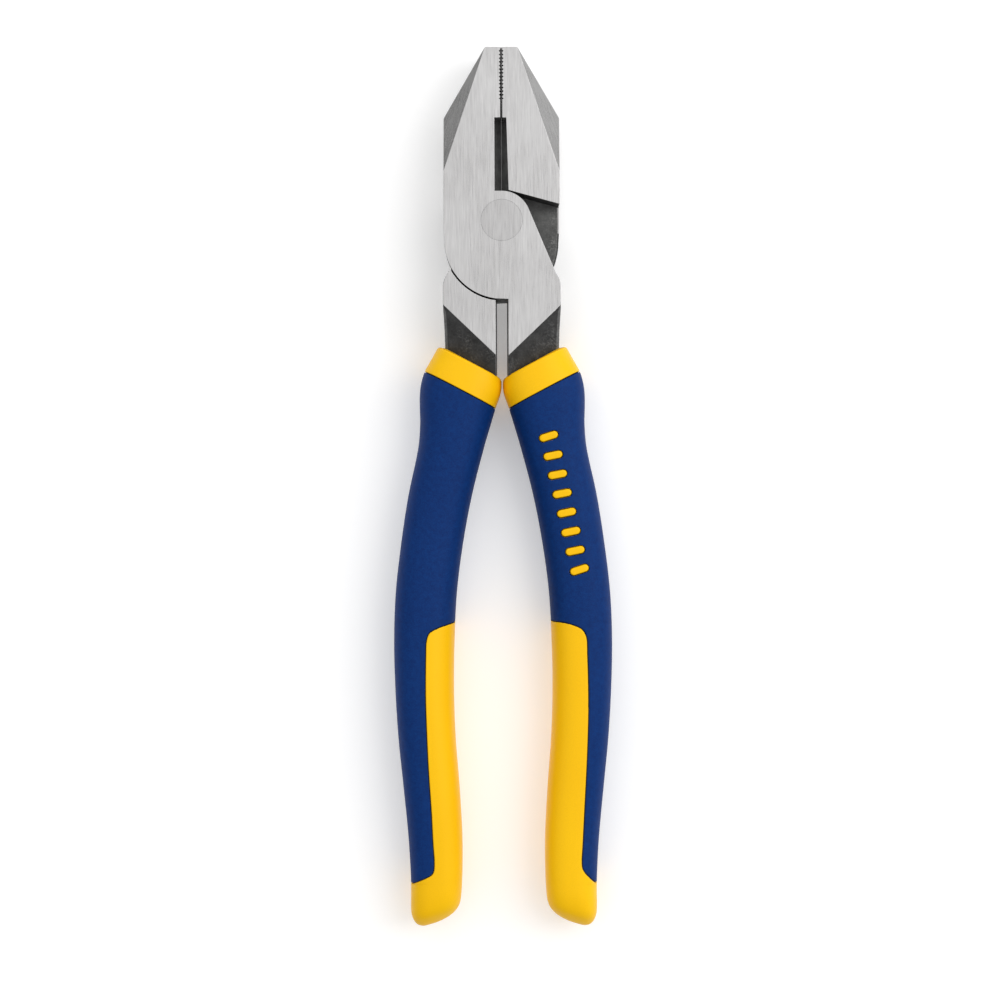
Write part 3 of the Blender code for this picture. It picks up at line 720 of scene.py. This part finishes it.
def lever_object():
    body = prism("lever", lever_outline(), 0.0, THICK)
    steps = [(prism("cut", rear_cutter_outline(), -4, MID + LAP_GAP / 2), "DIFFERENCE")]
    for side in (1, -1):
        face = MID + side * MID
        steps.append((half_space("cut", (-NOSE_HALF, NOSE_Y, face), facet_plane(side)), "DIFFERENCE"))
        fall = math.radians(SLOPE_ANGLE)
        edge = Vector((SLOPE_A[0] - SLOPE_B[0], SLOPE_A[1] - SLOPE_B[1])).normalized()
        down = (edge.y * math.sin(fall), -edge.x * math.sin(fall), side * math.cos(fall))
        steps.append((half_space("cut", (*SLOPE_A, face), down), "DIFFERENCE"))
        steps.append((knife_cutter(side), "DIFFERENCE"))
        steps.append((prism("cut", jaw_groove_outline(side), CUTTER_TOP_Y - 0.5, TEETH_TOP_Y + 0.2, "xzy"),
                      "DIFFERENCE"))
        steps.append((prism("cut", draft_outline(side), -60.0, SLOT_TOP_Y + 0.01, "xzy"), "DIFFERENCE"))
    hole, sink = RIVET_R + RIVET_CLEAR, RIVET_HEAD_R + RIVET_CLEAR
    steps.append((turned("cut", [(sink + 0.6, -1.0), (sink, 0.0), (hole, RIVET_SINK),
                                 (hole, THICK - RIVET_SINK), (sink, THICK), (sink + 0.6, THICK + 1.0)],
                         128), "DIFFERENCE"))
    foot, edge = TEETH_TOP_Y - TEETH * TOOTH_PITCH - 0.2, -JAW_GAP - 0.012
    land = [(-0.8, foot), (edge, foot), (edge, TEETH_TOP_Y - 0.1), (-0.8, TEETH_TOP_Y - 0.1)]
    steps.append((prism("land", land, MID - 0.3, MID + 0.3), "UNION"))
    steps.append((lever_tang(), "UNION"))
    worked(body, steps)
    bm = bmesh.new()
    bm.from_mesh(body.data)
    bmesh.ops.remove_doubles(bm, verts=bm.verts, dist=3e-6)
    bmesh.ops.dissolve_degenerate(bm, dist=3e-6, edges=bm.edges)
    bmesh.ops.dissolve_limit(bm, angle_limit=math.radians(0.25), verts=bm.verts, edges=bm.edges)
    bm.normal_update()
    for face in bm.faces:
        face.material_index = lever_finish(face.calc_center_median() / MM, face.normal)
    weight = bm.edges.layers.float.new("bevel_weight_edge")
    for edge in bm.edges:
        if len(edge.link_faces) != 2 or edge.calc_face_angle(0.0) < math.radians(13):
            continue
        upright = all(abs(face.normal.z) < 0.3 for face in edge.link_faces)
        if upright and edge.calc_face_angle(0.0) < math.radians(28):
            continue
        a, b = (v.co / MM for v in edge.verts)
        width = edge_width((a + b) / 2, (b - a).normalized(), *(f.normal for f in edge.link_faces))
        edge[weight] = width / WIDEST
    bm.to_mesh(body.data)
    bm.free()
    bevel = body.modifiers.new("round", "BEVEL")
    bevel.limit_method = "WEIGHT"
    bevel.width = WIDEST * MM
    bevel.segments = 3
    bevel.use_clamp_overlap = False
    bevel.miter_outer = "MITER_ARC"
    bevel.loop_slide = True
    worked(body, [])
    for face in body.data.polygons:
        x, y, z = face.center / MM
        n = face.normal
        # The shank's rounded outer edges get a lighter forged grey: partly edge wear, partly a painted highlight
        # for the bright rim these edges catch.
        if face.material_index == FORGED and x > 13.5 and y < -23.5 and abs(n.z) > 0.2 and abs(n.x) > 0.22:
            face.material_index = RUBBED_AND_HIGHLIT
    return body


def rivet_object():
    r, c = RIVET_HEAD_R, 0.02
    lower = [(r - 1.2, 0.0), (r - c, 0.0), (r, c), (RIVET_R, RIVET_SINK - 0.05)]
    upper = [(radius, THICK - z) for radius, z in reversed(lower)]
    return turned("rivet", lower + upper, 128)


# ------------------------------------------------------------------ materials
class Nodes:
    """A small writer for one material's or world's node tree."""

    def __init__(self, owner):
        owner.use_nodes = True
        self.tree = owner.node_tree
        self.tree.nodes.clear()

    def add(self, kind, inputs=None, **settings):
        node = self.tree.nodes.new(kind)
        for key, value in settings.items():
            setattr(node, key, value)
        for key, value in (inputs or {}).items():
            if isinstance(value, bpy.types.NodeSocket):
                self.tree.links.new(value, node.inputs[key])
            else:
                node.inputs[key].default_value = value
        return node

    def noise(self, vector, scale, detail=3.0, rough=0.55):
        return self.add("ShaderNodeTexNoise", {"Vector": vector, "Scale": scale, "Detail": detail,
                                               "Roughness": rough}).outputs["Fac"]

    def span(self, value, low, high, start=0.0, stop=1.0):
        """value's range start..stop carried to low..high."""
        return self.add("ShaderNodeMapRange", {"Value": value, "From Min": start, "From Max": stop,
                                               "To Min": low, "To Max": high}).outputs["Result"]

    def math(self, operation, a, b=0.0, c=0.0):
        node = self.tree.nodes.new("ShaderNodeMath")
        node.operation = operation
        for socket, value in zip(node.inputs, (a, b, c)):
            if isinstance(value, bpy.types.NodeSocket):
                self.tree.links.new(value, socket)
            else:
                socket.default_value = value
        return node.outputs[0]

    def ramp(self, value, stops):
        node = self.tree.nodes.new("ShaderNodeValToRGB")
        self.tree.links.new(value, node.inputs[0])
        elements = node.color_ramp.elements
        while len(elements) < len(stops):
            elements.new(0.5)
        for element, (at, colour) in zip(elements, stops):
            element.position = at
            element.color = (*colour, 1.0)
        return node.outputs["Color"]

    def mix(self, factor, a, b, blend="MIX"):
        node = self.add("ShaderNodeMix", data_type="RGBA", blend_type=blend)
        for name, value in (("Factor_Float", factor), ("A_Color", a), ("B_Color", b)):
            socket = next(i for i in node.inputs if i.identifier == name)
            if isinstance(value, bpy.types.NodeSocket):
                self.tree.links.new(value, socket)
            else:
                socket.default_value = value if name == "Factor_Float" else (*value, 1.0)
        return next(o for o in node.outputs if o.identifier == "Result_Color")

    def bump(self, height, strength, distance, normal=None):
        inputs = {"Height": height, "Strength": strength, "Distance": distance}
        if normal is not None:
            inputs["Normal"] = normal
        return self.add("ShaderNodeBump", inputs).outputs["Normal"]

    def stretched(self, scale, turn=0.0):
        """Object space, squeezed by scale along axes turned about z by turn degrees."""
        coord = self.add("ShaderNodeTexCoord").outputs["Object"]
        return self.add("ShaderNodeMapping", {"Vector": coord, "Scale": tuple(1 / k for k in scale),
                                              "Rotation": (0.0, 0.0, math.radians(turn))},
                        vector_type="TEXTURE").outputs["Vector"]

    def surface(self, **inputs):
        shader = self.add("ShaderNodeBsdfPrincipled", {k.replace("_", " "): v for k, v in inputs.items()})
        self.add("ShaderNodeOutputMaterial", {"Surface": shader.outputs["BSDF"]})


def new_material(name):
    made = bpy.data.materials.new(name)
    return made, Nodes(made)


def ground_steel(name, dark, light, rough=(0.26, 0.37), turn=0.0, depth=0.3, across=1.0):
    """Ground and brushed: fine short lines along the tool, with faint bands and blotches."""
    made, n = new_material(name)
    fine = n.noise(n.stretched((1.0, 0.03, across), turn), 6500.0, 3.0, 0.6)
    broad = n.noise(n.stretched((1.0, 0.045, across), turn), 2100.0, 3.0, 0.6)
    blotch = n.noise(n.stretched((1.0, 0.6, 1.0)), 75.0, 5.0, 0.6)
    lines = n.math("ADD", n.math("MULTIPLY", fine, 0.65), n.math("MULTIPLY", broad, 0.35))
    tint = n.ramp(lines, ((0.36, dark), (0.64, light)))
    shade = n.ramp(blotch, ((0.35, (0.935, 0.93, 0.93)), (0.65, (1.0, 1.0, 1.0))))
    rough = n.math("ADD", n.span(lines, *rough, 0.35, 0.65), n.span(blotch, -0.03, 0.03, 0.35, 0.65))
    n.surface(Base_Color=n.mix(1.0, tint, shade, "MULTIPLY"), Metallic=1.0, Roughness=rough,
              Normal=n.bump(lines, depth, 0.000015))
    return made


def forged_black(name, dark, light, scuffs):
    """Black forge scale: rough, mottled, worn bright in spots."""
    made, n = new_material(name)
    plain = n.stretched((1.0, 1.0, 1.0))
    grain = n.noise(plain, 1900.0, 4.0, 0.65)
    lump = n.noise(plain, 330.0, 3.0, 0.55)
    patch = n.noise(plain, 120.0, 6.0, 0.7)
    tone = n.ramp(n.math("ADD", n.math("MULTIPLY", grain, 0.5), n.math("MULTIPLY", lump, 0.5)),
                  ((0.36, dark), (0.66, light)))
    rub = n.span(n.math("MULTIPLY", patch, n.span(grain, 0.75, 1.25, 0.3, 0.7)), 0.0, 1.0, 0.56, 0.74)
    rub = n.math("MULTIPLY", rub, scuffs)
    rough = n.math("SUBTRACT", n.span(grain, 0.46, 0.64, 0.3, 0.7), n.math("MULTIPLY", rub, 0.14))
    height = n.math("ADD", n.math("MULTIPLY", grain, 0.35), lump)
    n.surface(Base_Color=n.mix(rub, tone, (0.22, 0.22, 0.215)), Metallic=0.55, Roughness=rough,
              Normal=n.bump(height, 0.5, 0.00009))
    return made


def hard_plastic(name="hard_plastic"):
    """Hard yellow moulding, satin, with a very fine mould texture."""
    made, n = new_material(name)
    plain = n.stretched((1.0, 1.0, 1.0))
    fine = n.noise(plain, 3600.0, 2.0, 0.5)
    flow = n.noise(n.stretched((1.0, 0.35, 1.0)), 60.0, 3.0, 0.5)
    tone = n.ramp(flow, ((0.3, (0.93, 0.512, 0.0025)), (0.7, (0.965, 0.559, 0.0035))))
    speck = n.ramp(fine, ((0.3, (0.96, 0.95, 0.93)), (0.62, (1.0, 1.0, 1.0))))
    rough = n.span(fine, 0.34, 0.46, 0.3, 0.7)
    n.surface(Base_Color=n.mix(1.0, tone, speck, "MULTIPLY"), Metallic=0.0, Roughness=rough,
              Specular_IOR_Level=0.13, Normal=n.bump(fine, 0.16, 0.00002))
    return made


def soft_rubber(name="soft_overmould"):
    """Soft blue overmould: matt, with a fine speckled grain."""
    made, n = new_material(name)
    plain = n.stretched((1.0, 1.0, 1.0))
    fine = n.noise(plain, 2600.0, 3.0, 0.6)
    coarse = n.noise(plain, 700.0, 3.0, 0.6)
    flow = n.noise(plain, 45.0, 3.0, 0.5)
    tone = n.ramp(n.math("ADD", n.math("MULTIPLY", fine, 0.6), n.math("MULTIPLY", coarse, 0.4)),
                  ((0.36, (0.0004, 0.0205, 0.118)), (0.64, (0.0016, 0.0345, 0.172))))
    shade = n.ramp(flow, ((0.3, (0.92, 0.94, 0.96)), (0.7, (1.0, 1.0, 1.0))))
    rough = n.span(fine, 0.52, 0.68, 0.3, 0.7)
    height = n.math("ADD", fine, n.math("MULTIPLY", coarse, 0.6))
    n.surface(Base_Color=n.mix(1.0, tone, shade, "MULTIPLY"), Metallic=0.0, Roughness=rough,
              Specular_IOR_Level=0.12, Normal=n.bump(height, 0.3, 0.00004))
    return made


def painted_seam_shade(name="painted_seam_shade"):
    """Painted shade for the bottom of the seam between the two plastics: a dark, mottled colour standing in for
    the shadow in the groove.
    """
    made, n = new_material(name)
    shade_mottle = n.noise(n.stretched((1.0, 1.0, 1.0)), 1500.0, 3.0, 0.6)
    n.surface(Base_Color=n.ramp(shade_mottle, ((0.35, (0.016, 0.017, 0.013)), (0.65, (0.04, 0.04, 0.028)))),
              Metallic=0.0, Roughness=n.span(shade_mottle, 0.6, 0.8, 0.3, 0.7), Specular_IOR_Level=0.1,
              Normal=n.bump(shade_mottle, 0.2, 0.00004))
    return made


# ------------------------------------------------------------------ pieces
def shaded(mesh, angle):
    mesh.shade_smooth()
    mesh.set_sharp_from_angle(angle=math.radians(angle))


def piece(name, mesh, materials, node, body, keep_indices=False):
    obj = bpy.data.objects.new(name, mesh)
    mesh.name = name
    scene.collection.objects.link(obj)
    indices = [p.material_index for p in mesh.polygons] if keep_indices else None
    mesh.materials.clear()
    for made in materials:
        mesh.materials.append(made)
    if indices:
        mesh.polygons.foreach_set("material_index", indices)
    weighted = obj.modifiers.new("flat_faces", "WEIGHTED_NORMAL")
    weighted.keep_sharp = True
    weighted.weight = 80
    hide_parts(node)
    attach(obj, body)
    return obj


def taken(obj):
    mesh = obj.data
    bpy.data.objects.remove(obj, do_unlink=True)
    return mesh


steel = ground_steel("ground_steel", (0.455, 0.45, 0.45), (0.573, 0.568, 0.566))
FACET_RUN = math.degrees(math.atan2(HALF_WIDTH - NOSE_HALF, NOSE_Y - FACET_LOW_Y))
TAPER_RUN = math.degrees(math.atan2(HALF_WIDTH - NOSE_HALF, NOSE_Y - SHOULDER_Y))
# The facet steel is painted darker than the flats: painted shade standing in for the lower light on the sloped
# facets; the two copies differ only in brushing direction.
left_facet, right_facet = (
    ground_steel(name, (0.415, 0.412, 0.41), (0.475, 0.472, 0.469), (0.24, 0.28), turn, 0.1, 0.5)
    for name, turn in (("left_facet", -FACET_RUN), ("right_facet", FACET_RUN)))
left_taper, right_taper = (
    ground_steel(name, (0.465, 0.46, 0.46), (0.585, 0.58, 0.578), turn=turn)
    for name, turn in (("left_taper", -TAPER_RUN), ("right_taper", TAPER_RUN)))
rivet_steel = ground_steel("rivet_steel", (0.42, 0.415, 0.415), (0.528, 0.523, 0.521))
black = forged_black("forged_black", (0.018, 0.018, 0.0182), (0.056, 0.056, 0.0565), 0.28)
# Lighter forged grey for the shank's rounded outer edges: partly edge wear, partly painted highlight.
rubbed_and_highlit = forged_black("forged_rubbed_and_highlit", (0.075, 0.075, 0.075), (0.17, 0.17, 0.169), 0.5)
# A lighter forged grey for the knife notch and slot walls: painted light in these deep openings, partly the
# notch's cut finish.
cut_face_and_painted_light = forged_black("cut_face_and_painted_light", (0.18, 0.18, 0.18), (0.36, 0.36, 0.357), 0.4)
recess = forged_black("recess", (0.06, 0.06, 0.059), (0.145, 0.145, 0.142), 0.7)
plastic = hard_plastic()
rubber = soft_rubber()
# painted shade: the dark colour put in the bottom of the grip seams in place of their shadow
shade = painted_seam_shade()

lever = taken(lever_object())
shaded(lever, 36)
piece("front_lever", lever, (steel, black, rubbed_and_highlit, cut_face_and_painted_light, recess, left_facet, left_taper), "lever_front",
      "front_half", True)
piece("rear_lever", turned_over(lever, "rear_lever"),
      (steel, black, rubbed_and_highlit, cut_face_and_painted_light, recess, right_facet, right_taper), "lever_rear",
      "rear_half", True)
rivet = taken(rivet_object())
shaded(rivet, 36)
piece("rivet", rivet, (rivet_steel,), "pivot_rivet", "rear_half")

grid = grip_grids()
left_core = core_object(grid)
left_over = over_object(grid)
marked_core = bpy.data.objects.new("marked_core", left_core.data.copy())
marked_over = bpy.data.objects.new("marked_over", left_over.data.copy())
for obj in (marked_core, marked_over):
    scene.collection.objects.link(obj)
worked(marked_core, [(mark_posts(), "UNION")], "MANIFOLD")
worked(marked_over, [(mark_windows(), "DIFFERENCE")], "MANIFOLD")
for name, obj, made, slot in (("core", left_core, plastic, "hard_plastic"),
                              ("overmould", left_over, rubber, "soft_overmould")):
    mesh = taken(obj)
    mark_seam(mesh)
    shaded(mesh, 42)
    piece("left_" + name, mesh, (made, shade), "grip_" + name + "_left", "rear_half", True)
for name, obj, made, slot in (("core", marked_core, plastic, "hard_plastic"),
                              ("overmould", marked_over, rubber, "soft_overmould")):
    mesh = taken(obj)
    mark_seam(mesh)
    mesh = turned_over(mesh, "right_" + name)
    shaded(mesh, 42)
    piece("right_" + name, mesh, (made, shade), "grip_" + name + "_right", "front_half", True)

# ------------------------------------------------------------------ stage, light and camera
floor_mesh = bmesh.new()
bmesh.ops.create_grid(floor_mesh, x_segments=1, y_segments=1, size=9.0)
floor = link("floor", floor_mesh)
floor.location = (0, -0.07, -0.0026)
paper, n = new_material("paper")
grain = n.noise(n.stretched((1.0, 1.0, 1.0)), 900.0, 3.0, 0.6)
n.surface(Base_Color=n.ramp(grain, ((0.3, (0.81, 0.81, 0.81)), (0.7, (0.83, 0.83, 0.83)))),
          Roughness=0.85, Specular_IOR_Level=0.1, Emission_Color=(1.0, 1.0, 1.0, 1.0), Emission_Strength=0.27)
floor.data.materials.append(paper)

world = bpy.data.worlds.new("studio")
scene.world = world
n = Nodes(world)
direction = n.add("ShaderNodeTexCoord").outputs["Generated"]
axes = n.add("ShaderNodeSeparateXYZ", {"Vector": direction})
height = n.math("POWER", n.span(axes.outputs["Z"], 0.0, 1.0, 0.0, 0.8), 0.8)
low = n.span(axes.outputs["X"], 0.0, 0.6, -0.6, 0.6)
high = n.math("ADD", n.math("MULTIPLY", axes.outputs["Y"], 0.8), 0.98)
level = n.math("ADD", n.math("MULTIPLY", height, high), n.math("MULTIPLY", n.math("SUBTRACT", 1.0, height), low))
seen = n.add("ShaderNodeLightPath").outputs["Is Camera Ray"]
level = n.math("ADD", n.math("MULTIPLY", level, n.math("SUBTRACT", 1.0, seen)), n.math("MULTIPLY", seen, 0.9))
shine = n.add("ShaderNodeBackground", {"Color": (1.0, 1.0, 1.0, 1.0), "Strength": level})
n.add("ShaderNodeOutputWorld", {"Surface": shine.outputs["Background"]})


def soft_light(name, at, target, width, height, power):
    light = bpy.data.lights.new(name, "AREA")
    light.shape = "RECTANGLE"
    light.size, light.size_y = width, height
    light.energy = power
    lamp = bpy.data.objects.new(name, light)
    lamp.location = at
    lamp.rotation_euler = (Vector(target) - Vector(at)).to_track_quat("-Z", "Y").to_euler()
    scene.collection.objects.link(lamp)


soft_light("key", (0.62, 0.12, 0.85), (0.0, -0.07, 0.0), 0.55, 0.8, 3.2)

camera = bpy.data.objects.new("camera", bpy.data.cameras.new("camera"))
camera.data.lens, camera.data.sensor_width = 85.0, 36.0
camera.data.clip_start, camera.data.clip_end = 0.01, 50.0
camera.location = (-0.00072, -0.0765, 0.00795 + 0.6528)
camera.rotation_euler = (0.0, 0.0, math.radians(-0.2))
scene.collection.objects.link(camera)
scene.camera = camera
scene.view_settings.view_transform = "Standard"
scene.view_settings.look = "None"
scene.view_settings.exposure = 0.0
scene.view_settings.gamma = 1.0

bpy.context.view_layer.update()
